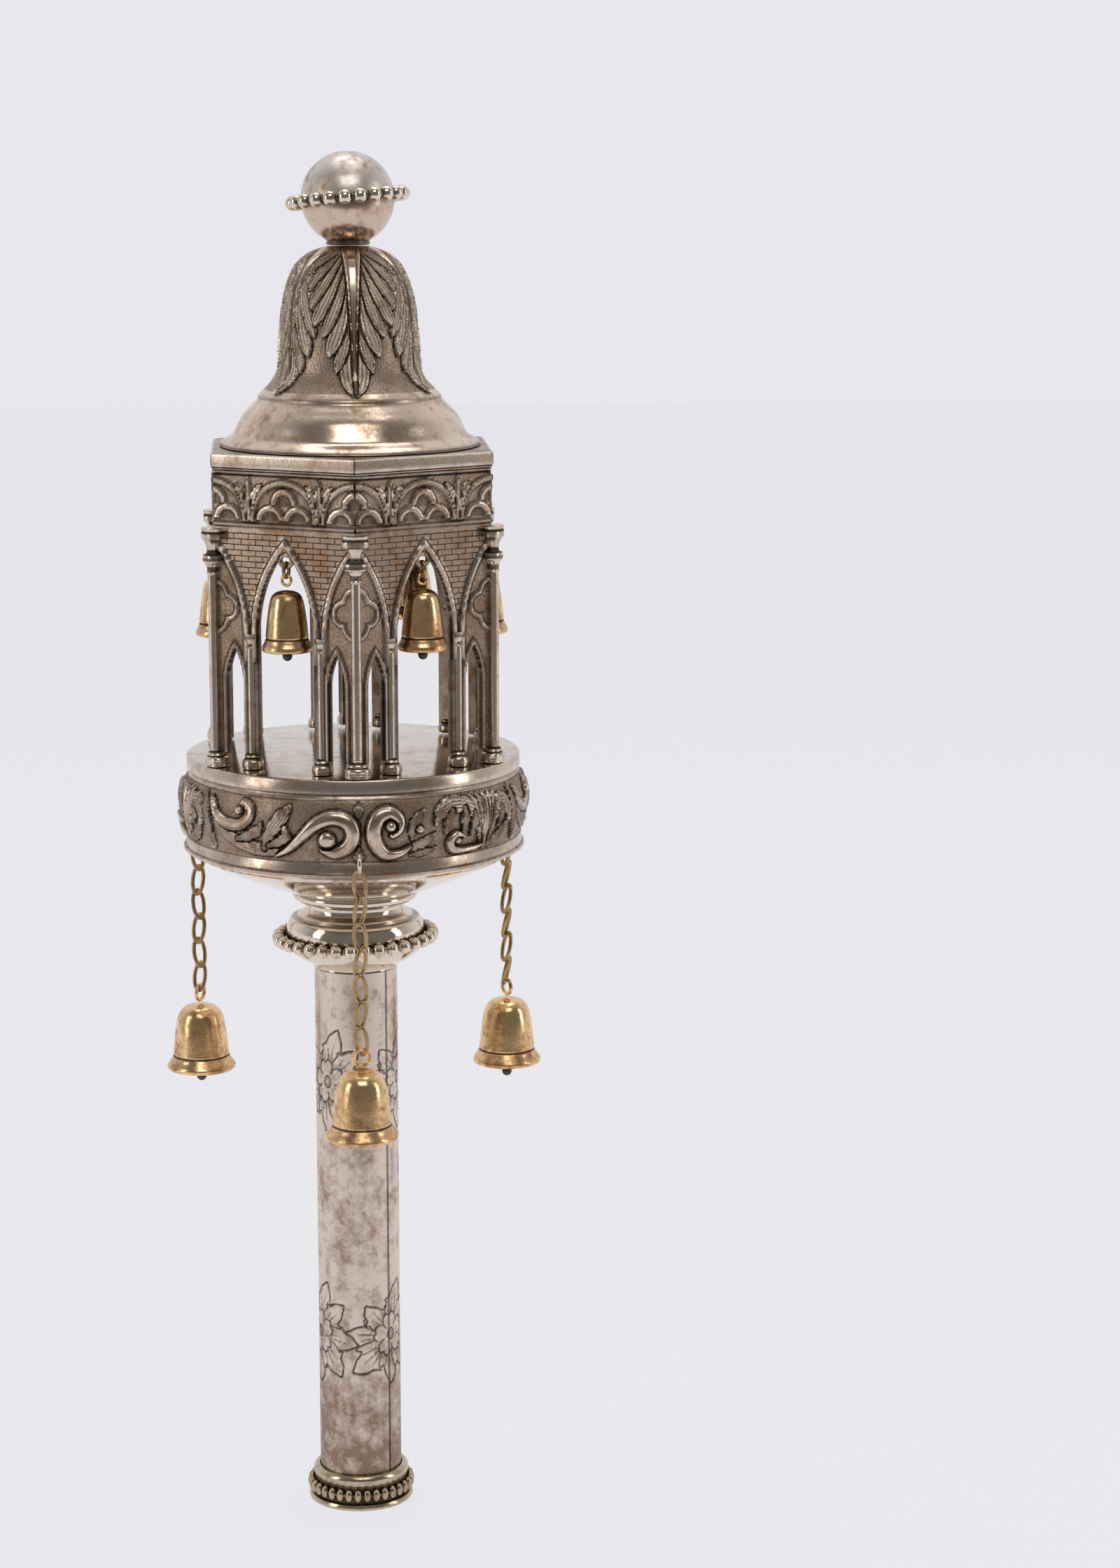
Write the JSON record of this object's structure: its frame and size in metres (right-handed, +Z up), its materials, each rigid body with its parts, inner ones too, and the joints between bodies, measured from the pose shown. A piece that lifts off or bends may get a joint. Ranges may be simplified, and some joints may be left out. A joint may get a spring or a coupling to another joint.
{
  "type": "torah finial",
  "caption": "Tower-shaped silver scroll finial: hollow stem, knop, drum with hanging bells, six-sided open arcade and leafy dome under a ball",
  "frame": {"origin": "on the finial's axis at the underside of its foot, the mouth of the stave socket", "axes": "+Z up along the stem; -Y towards the corner of the lantern above the front chain; +X to the right seen from there"},
  "size_m": [0.1128, 0.1141, 0.4007],
  "materials": {
    "stem_silver": "silver with soft brown mottling and dark engraved lines",
    "foot_gilt": "gilt stamped bead ring with brown tarnish in its hollows",
    "polished_silver": "bright polished silver with a slight yellow cast",
    "chased_silver": "chased and stamped silver, oxidised brown and grey, bright on worn edges",
    "dome_silver": "chased silver with a matted ground, brown tarnish and bright ridges",
    "bell_gilt": "turned gilt with brown tarnish",
    "chain_brass": "dull brass wire",
    "clapper_iron": "dark iron"
  },
  "bodies": {
    "root": {"stem": "stem_silver", "foot_ring": "foot_gilt", "collar": "polished_silver", "collar_bead_ring": "polished_silver", "drum": "chased_silver", "arcade_wall_1": "chased_silver", "arcade_wall_2": "chased_silver", "arcade_wall_3": "chased_silver", "arcade_wall_4": "chased_silver", "arcade_wall_5": "chased_silver", "arcade_wall_6": "chased_silver", "corner_column_1": "chased_silver", "corner_column_2": "chased_silver", "corner_column_3": "chased_silver", "corner_column_4": "chased_silver", "corner_column_5": "chased_silver", "corner_column_6": "chased_silver", "cornice": "chased_silver", "dome": "dome_silver", "orb": "dome_silver", "orb_bead_ring": "dome_silver", "arch_bell_link_1": "chain_brass", "arch_bell_1": "bell_gilt", "arch_bell_clapper_1": "clapper_iron", "arch_bell_link_2": "chain_brass", "arch_bell_2": "bell_gilt", "arch_bell_clapper_2": "clapper_iron", "arch_bell_link_3": "chain_brass", "arch_bell_3": "bell_gilt", "arch_bell_clapper_3": "clapper_iron", "arch_bell_link_5": "chain_brass", "arch_bell_5": "bell_gilt", "arch_bell_clapper_5": "clapper_iron", "arch_bell_link_6": "chain_brass", "arch_bell_6": "bell_gilt", "arch_bell_clapper_6": "clapper_iron", "drum_eyelet_1": "polished_silver", "chain_1": "chain_brass", "chain_bell_1": "bell_gilt", "chain_bell_clapper_1": "clapper_iron", "drum_eyelet_2": "polished_silver", "chain_2": "chain_brass", "chain_bell_2": "bell_gilt", "chain_bell_clapper_2": "clapper_iron", "drum_eyelet_3": "polished_silver", "chain_3": "chain_brass", "chain_bell_3": "bell_gilt", "chain_bell_clapper_3": "clapper_iron"}
  },
  "joints": []
}
